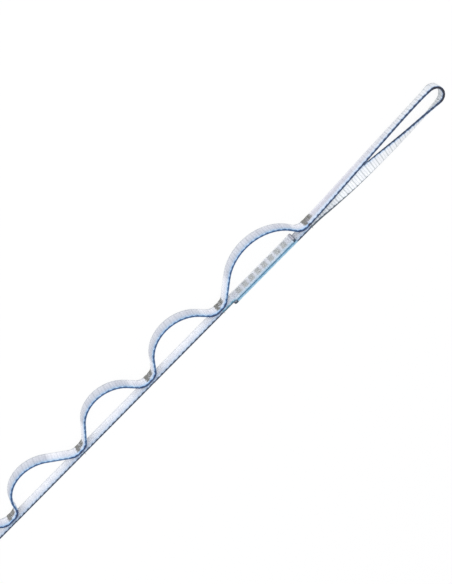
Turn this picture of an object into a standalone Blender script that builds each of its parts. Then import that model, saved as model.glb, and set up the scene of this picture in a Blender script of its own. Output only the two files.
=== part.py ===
"""Climbing daisy chain of flat webbing, in metres, lying on its narrow edge with +Z up.

+X runs along the chain to the tip of the end loop, +Y is the side that the pockets bow to.
The webbing's width stands along Z. A straight spine strand and a bowed pocket strand are sewn
together by bar tacks. The webbing is divided beside each bar tack, where the chain bends.
"""

import math

import bmesh
import bpy
from mathutils import Vector
from mathutils.geometry import interpolate_bezier

# Webbing and the gap that touching pieces keep
webbing_width = 0.011
webbing_thickness = 0.0026
edge_round = 0.0005
seam_gap = 0.0003
on_edge_deg = 90.0
round_tip_degs = (0, 25, 50, 72)
sharp_edge_deg = 35.0

# Bar tacks: a pad of thread on each face, joined by stitches through both layers
tack_length = 0.0045
tack_width = 0.0090
tack_pad = 0.0006
stitch_size = 0.0008
stitch_pitch = 0.0030
stitch_rows = (-1, 0, 1)
tack_margin = 0.0005

# Pockets from the end loop on. A shape is the rise angle at its left and right foot, in degrees,
# and the share of the pitch that the shorter straight leg takes
first_pocket_pitch = 0.103
pocket_pitch = 0.086
root_radius = 0.0095
root_flat = 0.0040
first_pocket_shape_shares = (42.5, 63.5, 0.030)
pocket_shape_shares = ((55.5, 57.5, 0.110), (49.0, 60.0, 0.120), (70.0, 47.5, 0.040), (53.0, 57.0, 0.110))
pockets = 10
crown_steps = 12
root_steps = 4

# Each hinge turns this far both ways
bend_deg = 25.0

# Splice in the first pocket: the spine's inner and outer layers overlap, sewn by short bar tacks
splice_inner_end = 0.0160
splice_outer_end = 0.0910
splice_first_tack = 0.0267
splice_tack_pitch = 0.0077
splice_tacks = 8

# End loop: reach from the first bar tack, spread of its strands each side, and its half twist
end_loop_reach = 0.157
end_loop_left_spread = 0.0081
end_loop_right_spread = 0.0090
end_loop_left_steps = 18
end_loop_right_steps = 30
end_loop_tip_steps = 10
# Handles of its two strands' curves, as shares of the reach to the tip's centre and of the spread
end_loop_left_shares = ((0.35, 0.33), (0.70, 0.85))
end_loop_right_shares = ((0.675, 1.16), (0.42, 0.40))
# Shares of the loop's length, each with the lean of the webbing's width from flat, in degrees
end_loop_twist_shares = (
    (0.0, 90.0),
    (0.10, 85.0),
    (0.22, 79.0),
    (0.43, 71.0),
    (0.50, 93.0),
    (0.58, 128.0),
    (0.68, 154.0),
    (0.76, 180.0),
    (0.87, 228.0),
    (0.95, 264.0),
    (1.0, 270.0),
)

# Far loop, past the last bar tack
far_loop_reach = 0.086
far_loop_spread = 0.0085
far_handle_share = 0.35
far_strand_steps = 14
far_tip_steps = 12

half_width = webbing_width / 2
half_thickness = webbing_thickness / 2
layer_step = webbing_thickness + seam_gap

# Beside each tack the spine of the next pocket ends in a round tip, centred on the hinge
tack_stack_end = tack_length / 2 + tack_margin
hinge_offset = tack_stack_end + seam_gap + half_thickness
bend = math.radians(bend_deg)
stack_height = layer_step + half_thickness + seam_gap
pocket_end_setback = (stack_height * math.sin(bend)) / math.cos(bend)


def clear_scene():
    for obj in list(bpy.data.objects):
        bpy.data.objects.remove(obj, do_unlink=True)


def finish(name, colour, roughness):
    """A plain dielectric material with a linear colour."""
    material = bpy.data.materials.new(name)
    material.use_nodes = True
    shader = material.node_tree.nodes["Principled BSDF"]
    shader.inputs["Base Color"].default_value = (*colour, 1.0)
    shader.inputs["Roughness"].default_value = roughness
    shader.inputs["Metallic"].default_value = 0.0
    return material


def frame_at(name, axis, parent):
    """An empty on a hinge axis, given in chain coordinates, carried by its parent's empty."""
    empty = bpy.data.objects.new(name, None)
    empty.empty_display_size = webbing_width
    bpy.context.scene.collection.objects.link(empty)
    empty["axis"] = axis
    empty.parent = parent
    base = Vector(parent["axis"]) if parent else Vector()
    empty.location = Vector(axis) - base
    return empty


def add_object(name, mesh, body, material):
    """An object whose mesh is in chain coordinates, placed under its body's empty."""
    obj = bpy.data.objects.new(name, mesh)
    bpy.context.scene.collection.objects.link(obj)
    mesh.materials.clear()
    mesh.materials.append(material)
    obj.parent = body
    obj.location = -Vector(body["axis"])
    return obj


# Curves in the plan view

def bezier(start, start_handle, end_handle, end, steps):
    flat = [Vector((x, y, 0)) for x, y in (start, start_handle, end_handle, end)]
    return [(p.x, p.y) for p in interpolate_bezier(*flat, steps)]


def arc(centre, radius, start, end, steps):
    """Points round a centre, angles in radians, both ends included."""
    angles = [start + (end - start) * i / steps for i in range(steps + 1)]
    return [(centre[0] + radius * math.cos(a), centre[1] + radius * math.sin(a)) for a in angles]


def pocket_curve(left, right, shape):
    """A pocket strand's centre line from one flat tack to the next: a root arc, a straight leg,
    the crown arc, a leg and a root arc. The crown's radius and the longer leg close the curve."""
    if shape[0] > shape[1]:
        mirrored = pocket_curve((-right[0], right[1]), (-left[0], left[1]), (shape[1], shape[0], shape[2]))
        return [(-x, y) for x, y in reversed(mirrored)]
    up, down = math.radians(shape[0]), math.radians(shape[1])
    up_cos, up_sin, down_cos, down_sin = math.cos(up), math.sin(up), math.cos(down), math.sin(down)
    short_leg = shape[2] * (right[0] - left[0])
    run = right[0] - left[0] - short_leg * down_cos
    climb = right[1] - left[1] + short_leg * down_sin
    spread = 1 - math.cos(up + down)
    long_leg = (climb * (up_sin + down_sin) - run * (down_cos - up_cos)) / spread
    crown = (run * up_sin - climb * up_cos) / spread - root_radius
    quarter = math.pi / 2
    points = arc((left[0], left[1] + root_radius), root_radius, -quarter, up - quarter, root_steps)
    foot = points[-1]
    top = (foot[0] + long_leg * up_cos, foot[1] + long_leg * up_sin)
    centre = (top[0] + crown * up_sin, top[1] - crown * up_cos)
    points += arc(centre, crown, quarter + up, quarter - down, crown_steps)
    right_centre = (right[0], right[1] + root_radius)
    points += arc(right_centre, root_radius, -quarter - down, -quarter, root_steps)
    return points


def cut_at(points, limit):
    """The points left of a limit along X, none close beside it, with a last point on it."""
    passed = sum(point[0] < limit for point in points)
    before, after = points[passed - 1], points[passed]
    share = (limit - before[0]) / (after[0] - before[0])
    kept = [point for point in points if point[0] < limit - seam_gap]
    return kept + [(limit, before[1] + share * (after[1] - before[1]))]


def value_along(stations, share):
    """A smooth value between (share, value) stations, its slopes taken from the neighbours."""
    last = len(stations) - 1
    i = max(k for k in range(last) if stations[k][0] <= share)  # the last station ends the last span

    def slope(k):
        low, high = max(k - 1, 0), min(k + 1, last)
        return (stations[high][1] - stations[low][1]) / (stations[high][0] - stations[low][0])

    width = stations[i + 1][0] - stations[i][0]
    t = (share - stations[i][0]) / width
    a, b = stations[i][1], stations[i + 1][1]
    m, n = slope(i) * width, slope(i + 1) * width
    return (
        (2 * t**3 - 3 * t**2 + 1) * a
        + (t**3 - 2 * t**2 + t) * m
        + (3 * t**2 - 2 * t**3) * b
        + (t**3 - t**2) * n
    )


def shares_of_length(points):
    lengths = [0.0]
    for a, b in zip(points, points[1:]):
        lengths.append(lengths[-1] + math.dist(a, b))
    return [length / lengths[-1] for length in lengths]


# Solids

def ribbon(points, leans=None, depth_shares=None):
    """A mesh of webbing swept along centre points. A lean of 90 degrees stands it on edge."""
    bm = bmesh.new()
    rings = []
    last = len(points) - 1
    for i, point in enumerate(points):
        before, after = points[max(i - 1, 0)], points[min(i + 1, last)]
        along = Vector((after[0] - before[0], after[1] - before[1], 0)).normalized()
        side = Vector((-along.y, along.x, 0))
        lean = math.radians(leans[i] if leans else on_edge_deg)
        across = side * math.cos(lean) + Vector((0, 0, math.sin(lean)))
        out = side * math.sin(lean) - Vector((0, 0, math.cos(lean)))
        depth = depth_shares[i] if depth_shares else 1.0
        thick, bevel = half_thickness * depth, edge_round * depth
        reach = half_width * abs(math.sin(lean)) + half_thickness * abs(math.cos(lean))
        centre = Vector((*point, max(half_width, reach)))
        section = (
            (thick, edge_round - half_width),
            (thick, half_width - edge_round),
            (thick - bevel, half_width),
            (bevel - thick, half_width),
            (-thick, half_width - edge_round),
            (-thick, edge_round - half_width),
            (bevel - thick, -half_width),
            (thick - bevel, -half_width),
        )
        rings.append([bm.verts.new(centre + out * a + across * b) for a, b in section])
    for near, far in zip(rings, rings[1:]):
        for k in range(len(near)):
            n = (k + 1) % len(near)
            bm.faces.new((near[k], near[n], far[n], far[k]))
    bm.faces.new(rings[0])
    bm.faces.new(rings[-1])
    bmesh.ops.recalc_face_normals(bm, faces=bm.faces)
    mesh = bpy.data.meshes.new("webbing")
    bm.to_mesh(mesh)
    bm.free()
    mesh.shade_smooth()
    mesh.set_sharp_from_angle(angle=math.radians(sharp_edge_deg))
    return mesh


def round_tip(centre, direction):
    """Centre points and depths that end a strand in a half round about its hinge axis."""
    angles = [math.radians(a) for a in round_tip_degs]
    points = [(centre[0] + direction * half_thickness * math.sin(a), centre[1]) for a in angles]
    return points, [math.cos(a) for a in angles]


def strand_with_tip(points, centre):
    """A strand whose last centre point is its hinge axis, with the half round added there."""
    tip, depths = round_tip(centre, 1)
    return ribbon(points + tip, depth_shares=[1.0] * len(points) + depths)


def tack_mesh(drop):
    """A bar tack, centred on a stitch column: two pads, and stitches joining them in between.
    The drop is the distance from the upper layer's middle to the lower layer's middle."""
    high = half_thickness + seam_gap
    low = -drop - half_thickness - seam_gap
    half_length, half_stitch = tack_length / 2, stitch_size / 2
    xs = (-half_length, -half_stitch, half_stitch, half_length)
    zs = [-tack_width / 2]
    for row in stitch_rows:
        zs += [row * stitch_pitch - half_stitch, row * stitch_pitch + half_stitch]
    zs.append(tack_width / 2)
    bm = bmesh.new()
    grids = []
    for inner, outer in ((high, high + tack_pad), (low, low - tack_pad)):
        grid = [[bm.verts.new((x, inner, half_width + z)) for z in zs] for x in xs]
        corners = [bm.verts.new((x, outer, half_width + z)) for x in (xs[0], xs[-1]) for z in (zs[0], zs[-1])]
        grids.append(grid)
        for i in range(len(xs) - 1):
            for j in range(len(zs) - 1):
                if i != 1 or j % 2 == 0:
                    bm.faces.new((grid[i][j], grid[i + 1][j], grid[i + 1][j + 1], grid[i][j + 1]))
        bm.faces.new((corners[0], corners[1], corners[3], corners[2]))
        bm.faces.new(grid[0] + [corners[1], corners[0]])
        bm.faces.new(grid[-1] + [corners[3], corners[2]])
        bm.faces.new([column[0] for column in grid] + [corners[2], corners[0]])
        bm.faces.new([column[-1] for column in grid] + [corners[3], corners[1]])
    for j in range(1, len(zs) - 1, 2):
        ring = ((1, j), (2, j), (2, j + 1), (1, j + 1))
        for (i, k), (m, n) in zip(ring, ring[1:] + ring[:1]):
            bm.faces.new((grids[0][i][k], grids[0][m][n], grids[1][m][n], grids[1][i][k]))
    bmesh.ops.recalc_face_normals(bm, faces=bm.faces)
    mesh = bpy.data.meshes.new("bar_tack")
    bm.to_mesh(mesh)
    bm.free()
    return mesh


def stitch_cutter(name, places):
    """One helper object of square needle holes through both layers at each place."""
    bm = bmesh.new()
    hole = stitch_size + 2 * seam_gap
    depth = 2 * layer_step + webbing_thickness
    for x, y in places:
        for row in stitch_rows:
            cube = bmesh.ops.create_cube(bm, size=1.0)["verts"]
            bmesh.ops.scale(bm, vec=(hole, depth, hole), verts=cube)
            middle = Vector((x, y - layer_step / 2, half_width + row * stitch_pitch))
            bmesh.ops.translate(bm, vec=middle, verts=cube)
    mesh = bpy.data.meshes.new(name)
    bm.to_mesh(mesh)
    bm.free()
    cutter = bpy.data.objects.new(name, mesh)
    bpy.context.scene.collection.objects.link(cutter)
    cutter.hide_render = True
    cutter.display_type = "WIRE"
    return cutter


def pierce(obj, cutter):
    cut = obj.modifiers.new("needle_holes", "BOOLEAN")
    cut.operation = "DIFFERENCE"
    cut.solver = "EXACT"
    cut.object = cutter


def add_tack(name, place, body):
    tack = add_object(name, shared_tack, body, thread)
    tack.location += Vector((place[0], place[1], 0))
    return tack


clear_scene()
white_webbing = finish("white_webbing", (0.78, 0.80, 0.84), 0.6)
thread = finish("grey_thread", (0.22, 0.23, 0.24), 0.75)
shared_tack = tack_mesh(layer_step)

# Places of the bar tacks and hinges. At the first tack the spine's outer layer is the lower one.
tack_x = [0.0, -first_pocket_pitch]
while len(tack_x) <= pockets:
    tack_x.append(tack_x[-1] - pocket_pitch)
spine_level = [-layer_step] + [0.0] * pockets
tack_places = [(x, level + layer_step) for x, level in zip(tack_x, spine_level)]
hinge_axes = [(x - hinge_offset, level, 0.0) for x, level in zip(tack_x, spine_level)]

chain = frame_at("chain", (0.0, 0.0, 0.0), None)
first_pocket = frame_at("pocket_1", (0.0, 0.0, 0.0), chain)
end_loop = frame_at("end_loop", hinge_axes[0], first_pocket)
bodies = [end_loop, first_pocket]
for i in range(1, pockets):
    bodies.append(frame_at("pocket_" + str(i + 1), hinge_axes[i], bodies[-1]))
far_loop = frame_at("far_loop", hinge_axes[pockets], bodies[-1])
needle_holes = [stitch_cutter("needle_holes_" + str(i + 1), [place]) for i, place in enumerate(tack_places)]

# End loop: through the tack, out along the left strand, round the tip and back, half twisted
tip_radius = (end_loop_left_spread + end_loop_right_spread) / 2
tip_middle = (end_loop_left_spread - end_loop_right_spread) / 2
tip_x = end_loop_reach - tip_radius
stack_x = tack_x[0] - tack_stack_end
leave_x = tack_x[0] + root_flat / 2
upper, lower = tack_places[0][1], spine_level[0]
left_handles = [(tip_x * x, end_loop_left_spread * y) for x, y in end_loop_left_shares]
right_handles = [(tip_x * x, -end_loop_right_spread * y) for x, y in end_loop_right_shares]
left_end, right_end = (tip_x, end_loop_left_spread), (tip_x, -end_loop_right_spread)
left_strand = bezier((leave_x, upper), *left_handles, left_end, end_loop_left_steps)
right_strand = bezier(right_end, *right_handles, (leave_x, lower), end_loop_right_steps)
loop_tip = arc((tip_x, tip_middle), tip_radius, math.pi / 2, -math.pi / 2, end_loop_tip_steps)
loop_points = [(stack_x, upper)] + left_strand[:-1] + loop_tip + right_strand[1:] + [(stack_x, lower)]
loop_leans = [value_along(end_loop_twist_shares, s) for s in shares_of_length(loop_points)]
loop = add_object("end_loop_webbing", ribbon(loop_points, loop_leans), end_loop, white_webbing)
pierce(loop, needle_holes[0])
add_tack("bar_tack_1", tack_places[0], end_loop)

# First pocket's spliced spine: inner layer from the left, outer layer from the right
inner_start = (tack_x[1] - tack_stack_end, spine_level[1])
inner_end = (tack_x[0] - splice_inner_end, spine_level[1])
inner = add_object("spine_strand_1", ribbon([inner_start, inner_end]), first_pocket, white_webbing)
outer_start = (tack_x[0] - splice_outer_end, spine_level[0])
outer_mesh = strand_with_tip([outer_start], hinge_axes[0])
outer = add_object("splice_outer_strand", outer_mesh, first_pocket, white_webbing)
splice_places = []
for k in range(splice_tacks):
    splice_places.append((tack_x[0] - splice_first_tack - k * splice_tack_pitch, spine_level[1]))
    add_tack("splice_tack_" + str(k + 1), splice_places[-1], first_pocket)
splice_holes = stitch_cutter("splice_needle_holes", splice_places)
pierce(inner, splice_holes)
pierce(outer, splice_holes)
pierce(inner, needle_holes[1])

# Pocket strands, and the single spine strands past the first pocket
for i in range(pockets):
    number = str(i + 1)
    left_x, right_x = tack_x[i + 1], tack_x[i]
    start = (left_x - tack_stack_end, tack_places[i + 1][1])
    left_root = (left_x + root_flat / 2, tack_places[i + 1][1])
    right_root = (right_x - root_flat / 2, tack_places[i][1])
    later_shape = pocket_shape_shares[(i - 1) % len(pocket_shape_shares)]
    curve = pocket_curve(left_root, right_root, later_shape if i else first_pocket_shape_shares)
    path = [start] + cut_at(curve, hinge_axes[i][0] - pocket_end_setback)
    strand = add_object("pocket_strand_" + number, ribbon(path), bodies[i + 1], white_webbing)
    pierce(strand, needle_holes[i + 1])
    add_tack("bar_tack_" + str(i + 2), tack_places[i + 1], bodies[i + 1])
    if i:
        spine_start = (left_x - tack_stack_end, spine_level[i + 1])
        spine_mesh = strand_with_tip([spine_start], hinge_axes[i])
        spine = add_object("spine_strand_" + number, spine_mesh, bodies[i + 1], white_webbing)
        pierce(spine, needle_holes[i + 1])

# Far loop: the webbing's other fold, spread evenly about the middle of the stack
last_x, last_y = hinge_axes[pockets][:2]
far_middle = last_y + layer_step / 2
far_tip_x = tack_x[pockets] - far_loop_reach + far_loop_spread
far_run = last_x - far_tip_x
upper_end = last_x - pocket_end_setback
far_handle = far_run * far_handle_share
far_upper = bezier(
    (upper_end, last_y + layer_step),
    (upper_end - far_handle, last_y + layer_step),
    (far_tip_x + far_handle, far_middle + far_loop_spread),
    (far_tip_x, far_middle + far_loop_spread),
    far_strand_steps,
)
far_lower = bezier(
    (far_tip_x, far_middle - far_loop_spread),
    (far_tip_x + far_handle, far_middle - far_loop_spread),
    (last_x - far_handle, last_y),
    (last_x - seam_gap, last_y),
    far_strand_steps,
)
far_tip = arc((far_tip_x, far_middle), far_loop_spread, math.pi / 2, math.pi * 1.5, far_tip_steps)
far_points = far_upper[:-1] + far_tip + far_lower[1:]
far_mesh = strand_with_tip(far_points, (last_x, last_y))
add_object("far_loop_webbing", far_mesh, far_loop, white_webbing)

# The frame's origin lies on the surface, under the middle of the chain's box
bpy.context.view_layer.update()
solids = [obj for obj in bpy.data.objects if obj.type == "MESH" and not obj.hide_render]
corners = [obj.matrix_world @ vertex.co for obj in solids for vertex in obj.data.vertices]
middle_x = (min(c.x for c in corners) + max(c.x for c in corners)) / 2
middle_y = (min(c.y for c in corners) + max(c.y for c in corners)) / 2
shift = Vector((-middle_x, -middle_y, 0))
chain.location = shift
for obj in bpy.data.objects:
    if obj.hide_render:
        obj.location = shift
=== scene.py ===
import math

import bpy
import numpy as np
from mathutils import Matrix, Vector


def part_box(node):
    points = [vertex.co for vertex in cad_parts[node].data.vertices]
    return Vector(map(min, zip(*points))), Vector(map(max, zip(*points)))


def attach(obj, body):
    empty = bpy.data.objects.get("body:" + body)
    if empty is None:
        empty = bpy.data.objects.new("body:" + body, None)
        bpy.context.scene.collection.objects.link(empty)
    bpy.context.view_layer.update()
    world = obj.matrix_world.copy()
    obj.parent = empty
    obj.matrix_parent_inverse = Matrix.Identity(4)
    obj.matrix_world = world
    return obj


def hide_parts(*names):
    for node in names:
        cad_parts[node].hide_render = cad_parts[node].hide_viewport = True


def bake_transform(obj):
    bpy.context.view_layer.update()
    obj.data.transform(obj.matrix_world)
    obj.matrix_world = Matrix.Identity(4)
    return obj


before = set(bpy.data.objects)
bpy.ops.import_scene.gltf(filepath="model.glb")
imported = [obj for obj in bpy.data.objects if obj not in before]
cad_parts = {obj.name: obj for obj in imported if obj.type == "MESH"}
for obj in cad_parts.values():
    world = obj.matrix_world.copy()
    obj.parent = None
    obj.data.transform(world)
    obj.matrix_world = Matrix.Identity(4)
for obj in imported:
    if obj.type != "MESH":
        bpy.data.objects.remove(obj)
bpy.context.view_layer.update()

# The spine: a straight run of flat webbing standing on its narrow edge, from bar tack to bar tack.
# The webbing is woven from white high-modulus polyethylene yarn, with dyed polyamide yarn in both
# selvages. Each length between two tacks is a piece, butted to the next under the tack's thread.
spine_low, spine_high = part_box("spine_strand_2")
tape_width = spine_high.z - spine_low.z
tape_thickness = spine_high.y - spine_low.y
spine_y = (spine_low.y + spine_high.y) / 2
layer_gap = 0.0003  # between two layers, and between two butted ends
layer_step = tape_thickness + layer_gap
pockets = 10
tack_boxes = [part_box("bar_tack_" + str(i + 1)) for i in range(pockets + 1)]
tack_x = [(low.x + high.x) / 2 for low, high in tack_boxes]
lower_y = [spine_y - layer_step] + [spine_y] * pockets  # at the first tack the splice's outer layer is sewn
upper_y = [y + layer_step for y in lower_y]
bodies = ["end_loop"] + ["pocket_" + str(i + 1) for i in range(pockets)] + ["far_loop"]
bend_start = 0.0090  # the length of straight strand, from a tack's middle, along which its thread is laid

rib_pitch = 0.0052  # the photograph shows a faint cross line each 2.6 mm, and every second one deeper
ring_phases = np.array((0, 0.11, 0.25, 0.39, 0.5, 0.61, 0.75, 0.89))  # the mesh's rings in each pitch
deep_groove = 0.00009
shallow_groove = 0.00005
selvage_notch = 0.00008  # between the beads along a selvage
selvage_depth = 0.0011  # from the webbing's edge to its flat face
face_points = 9
cord_rise = 0.00003  # how far the warp cords stand out of a face
face_dome = 0.00008  # how much a face swells towards its middle
sewn_thinning = 0.12  # the share by which a tack pulls the webbing thin
sewn_reach = 0.0026  # and how far from the tack's middle
open_radius = 0.055  # bent this tightly, the cloth's outer face gapes between picks and is painted darker as shade
open_depth = 0.8  # the share by which its grooves deepen then
ease_rings = 19  # the gaping comes and goes over this many rings
packed_radius = 0.0085  # bent this tightly, the selvage yarn packs into a wide line, painted dark with its dye and with shade
seal_flare = 0.10  # the share by which melt swells a cut end
seal_taper = 0.2  # and by which the very end narrows
seal_lumps = 0.00012  # the height of its lumps
lump_waves = (2.4, 1900, 1.3)  # round the webbing, along it in radians a metre, and round it again
crisp_angle = math.radians(50)  # steeper edges stay sharp, as round the cut ends


def linear(srgb):
    """A linear colour with alpha from an sRGB hex value such as 1F4E8C."""
    parts = [int(srgb[i:i + 2], 16) / 255 for i in (0, 2, 4)]
    return [p / 12.92 if p <= 0.04045 else ((p + 0.055) / 1.055) ** 2.4 for p in parts] + [1.0]


def add_node(tree, kind, settings=None, links=None):
    """One node. Settings are its own attributes or its inputs' values, links feed its inputs."""
    made = tree.nodes.new(kind)
    for key, value in (settings or {}).items():
        if isinstance(key, str) and hasattr(made, key):
            setattr(made, key, value)
        else:
            made.inputs[key].default_value = value
    for key, source in (links or {}).items():
        tree.links.new(source, made.inputs[key])
    return made


def set_ramp(ramp, stops):
    """Fill a colour ramp with (position, sRGB hex) stops."""
    elements = ramp.color_ramp.elements
    while len(elements) < len(stops):
        elements.new(0.5)
    for element, (position, colour) in zip(elements, stops):
        element.position = position
        element.color = linear(colour)


def add_object(name, data):
    """An object that holds the data, in the scene."""
    made = bpy.data.objects.new(name, data)
    bpy.context.scene.collection.objects.link(made)
    return made


def distances_along(path):
    """How far along a path each of its points lies."""
    return np.concatenate([[0], np.cumsum(np.linalg.norm(np.diff(path, axis=0), axis=1))])


def section_of_tape():
    """Points round the tape from the crest of the upper selvage: how far out and across each lies,
    the direction its relief goes, and whether it is on a face (1, -1) or a selvage (0)."""
    half_width, half_thick = tape_width / 2, tape_thickness / 2
    flat = half_width - selvage_depth
    out, across, turn, face = [], [], [], []
    for angle in (0, 30, 60):
        a = math.radians(angle)
        out.append((half_thick - face_dome) * math.sin(a))
        across.append(flat + selvage_depth * math.cos(a))
        turn.append((math.sin(a), math.cos(a)))
        face.append(0)
    for k in range(face_points):
        share = 1 - 2 * k / (face_points - 1)
        rise = cord_rise if k % 2 else -cord_rise
        out.append(half_thick - face_dome * share ** 2 - cord_rise + rise)
        across.append(flat * share)
        turn.append((1.0, 0.0))
        face.append(1)
    for k in (2, 1):
        out.append(out[k])
        across.append(-across[k])
        turn.append((turn[k][0], -turn[k][1]))
        face.append(0)
    out += [-value for value in out]
    across += [-value for value in across]
    turn += [(-a, -b) for a, b in turn]
    face += [-value for value in face]
    return np.array(out), np.array(across), np.array(turn), np.array(face)


def groove_drop(phases):
    """How far the weave's surface lies below its crown: deep at each rib, shallow half way."""
    crown = np.abs(np.sin(2 * np.pi * phases))
    depth = shallow_groove + (deep_groove - shallow_groove) * (0.5 + 0.5 * np.cos(2 * np.pi * phases))
    return depth * (1 - crown)


def woven_tape(name, path, cloth, lean_at=None, sewn=(), tight=(), sealed=None):
    """A closed mesh of tape swept along plan points, standing on edge unless lean_at gives the turn
    of its width from flat. Thread pulls it thin at the sewn lengths, and packs its selvages at those
    where it turns tight. Sealed gives the melt's length at a hot-cut end, by "start" or "end"."""
    sealed = sealed or {}
    path = np.array(path)
    marks = distances_along(path)
    total = marks[-1]
    ribs = max(1, round(total / rib_pitch))
    phases = np.append((np.arange(ribs)[:, None] + ring_phases).ravel(), ribs)
    at = phases / ribs * total
    reach = rib_pitch / 10  # the webbing's heading is taken over this length each way
    ahead, behind = np.minimum(at + reach, total), np.maximum(at - reach, 0)
    along = np.stack(
        [np.interp(ahead, marks, path[:, k]) - np.interp(behind, marks, path[:, k]) for k in (0, 1)], 1
    )
    along /= np.linalg.norm(along, axis=1)[:, None]
    leans = lean_at(at, total) if lean_at else np.full(len(at), np.pi / 2)
    sines, cosines = np.sin(leans)[:, None], np.cos(leans)[:, None]
    side = np.stack([-along[:, 1], along[:, 0], np.zeros(len(at))], 1)
    upright = np.array((0.0, 0.0, 1.0))
    across = side * cosines + upright * sines
    out = side * sines - upright * cosines
    half_width, half_thick = tape_width / 2, tape_thickness / 2
    height = np.maximum(half_width, half_width * np.abs(sines[:, 0]) + half_thick * np.abs(cosines[:, 0]))
    centre = np.stack([np.interp(at, marks, path[:, 0]), np.interp(at, marks, path[:, 1]), height], 1)

    out_by, across_by, turn, face = section_of_tape()
    front, back = groove_drop(phases)[:, None], groove_drop(phases - 0.25)[:, None]
    notch = selvage_notch * (1 - np.sqrt(np.abs(np.sin(2 * np.pi * phases))))[:, None]
    drop = np.where(face > 0, front, np.where(face < 0, back, notch))
    relief = 1 - drop / np.where(face == 0, selvage_notch, deep_groove)
    heading = np.unwrap(np.arctan2(along[:, 1], along[:, 0]))
    bend = -np.gradient(heading, at) * sines[:, 0]
    window = np.hanning(ease_rings)
    bend = np.convolve(np.pad(bend, ease_rings // 2, mode="edge"), window / window.sum(), mode="valid")
    stretch = np.clip(bend[:, None] * face * open_radius, 0, 1)
    packed = np.clip(np.abs(bend) * packed_radius, 0, 1)
    drop = drop * (1 + open_depth * stretch)
    thin = np.ones(len(at))
    for place in sewn:
        pull = np.exp(-((at - place) / sewn_reach) ** 4)
        thin -= sewn_thinning * pull
        if place in tight:
            packed = np.maximum(packed, pull)
    packed = np.repeat(packed[:, None], len(face), 1)
    grow = np.ones(len(at))
    spots = np.arange(len(face))
    lumps = np.sin(lump_waves[0] * spots + lump_waves[1] * at[:, None]) * np.sin(lump_waves[2] * spots)
    # The weave melts away over the first quarter of a fused end, which narrows over its last quarter
    for end, melt in sealed.items():
        near = np.clip(1 - (at if end == "start" else total - at) / melt, 0, 1)
        bead = np.sin(np.pi * near)
        grow += seal_flare * bead - seal_taper * np.clip(near * 4 - 3, 0, 1)
        drop = drop * (1 - np.minimum(near * 4, 1))[:, None] + seal_lumps * bead[:, None] * lumps
        relief = np.where(near[:, None] > 0, bead[:, None], relief)
    a = (out_by - drop * turn[:, 0]) * (thin * grow)[:, None]
    b = (across_by - drop * turn[:, 1]) * np.minimum(grow, 1)[:, None]
    points = centre[:, None, :] + out[:, None, :] * a[:, :, None] + across[:, None, :] * b[:, :, None]

    rings, sides = len(at), len(out_by)
    mesh = bpy.data.meshes.new(name)
    faces = []
    for i in range(rings - 1):
        for k in range(sides):
            n = (k + 1) % sides
            faces.append((i * sides + k, (i + 1) * sides + k, (i + 1) * sides + n, i * sides + n))
    faces.append(tuple(range(sides)))
    faces.append(tuple(range((rings - 1) * sides, rings * sides))[::-1])
    mesh.from_pydata(points.reshape(-1, 3).tolist(), [], faces)
    for label, values in (("relief", relief), ("stretch", stretch), ("packed", packed)):
        layer = mesh.attributes.new(label, "FLOAT", "POINT")
        layer.data.foreach_set("value", values.ravel().astype(np.float32))
    steps = np.hypot(np.diff(np.append(out_by, out_by[0])), np.diff(np.append(across_by, across_by[0])))
    around = np.concatenate([[0], np.cumsum(steps)]) * 1000
    lengths = at * 1000
    weave = mesh.uv_layers.new(name="weave").uv
    places = np.zeros((len(weave), 2), np.float32)
    i, k = np.divmod(np.arange((rings - 1) * sides), sides)
    quads = np.stack([
        np.stack([lengths[i], around[k]], 1),
        np.stack([lengths[i + 1], around[k]], 1),
        np.stack([lengths[i + 1], around[k + 1]], 1),
        np.stack([lengths[i], around[k + 1]], 1),
    ], 1)
    places[:quads.size // 2] = quads.reshape(-1, 2)
    places[quads.size // 2:, 0] = np.repeat((0, lengths[-1]), sides)
    places[quads.size // 2:, 1] = face_middle
    weave.foreach_set("vector", places.ravel())
    mesh.materials.append(cloth)
    if sealed:
        mesh.materials.append(fused_end)
    seal = np.zeros(len(faces), np.int32)
    middle = (at[i] + at[i + 1]) / 2
    if "start" in sealed:
        seal[:len(middle)][middle < sealed["start"]] = 1
        seal[-2] = 1
    if "end" in sealed:
        seal[:len(middle)][middle > total - sealed["end"]] = 1
        seal[-1] = 1
    mesh.polygons.foreach_set("material_index", seal)
    mesh.shade_smooth()
    mesh.set_sharp_from_angle(angle=crisp_angle)
    mesh.validate()
    return add_object(name, mesh)


def sew_in(piece, node, body, next_body=None):
    """The piece stands for its CAD node, which it hides. Without a next body it moves with its body; with
    one, its transform is baked into its mesh.
    """
    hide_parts(node)
    if next_body is None:
        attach(piece, body)
    else:
        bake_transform(piece)
    return piece


section_out, section_across = section_of_tape()[:2]
girth = 1000 * float(np.hypot(
    np.diff(np.append(section_out, section_out[0])), np.diff(np.append(section_across, section_across[0]))
).sum())  # in millimetres, as the weave's coordinates are
face_middle = girth / 4
lower_crest = girth / 2
cord_width = 1000 * (tape_width - 2 * selvage_depth) / (face_points - 1)
cord_start = face_middle - cord_width * (face_points - 1) / 2

# The dyes and shades of the cloth, lengths in millimetres
crest_spread = 0.45  # packed selvage yarn spreads this far down both faces
rib_swell = 0.5  # and this share of it more or less with each pair of ribs
packed_dye_and_shade = 0.5  # how much deeper packed yarn is painted: its dye together with painted shade
drawn_pick = 1.0
seam_shade = "E4E6EA"  # between the weave's yarns
faint_groove_shade = "F2F3F5"
groove_shade_tones = ("EEEFF1", "CACDD1", "D8DADE", "E2E4E7")  # painted shade: the first for the grooves of cloth that isn't stretched, the rest for stretched cloth


def new_finish(name, settings):
    """A material with its tree and its shader, which gets the settings."""
    material = bpy.data.materials.new(name)
    material.use_nodes = True
    shader = material.node_tree.nodes["Principled BSDF"]
    for key, value in settings.items():
        shader.inputs[key].default_value = value
    return material, material.node_tree, shader


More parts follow.
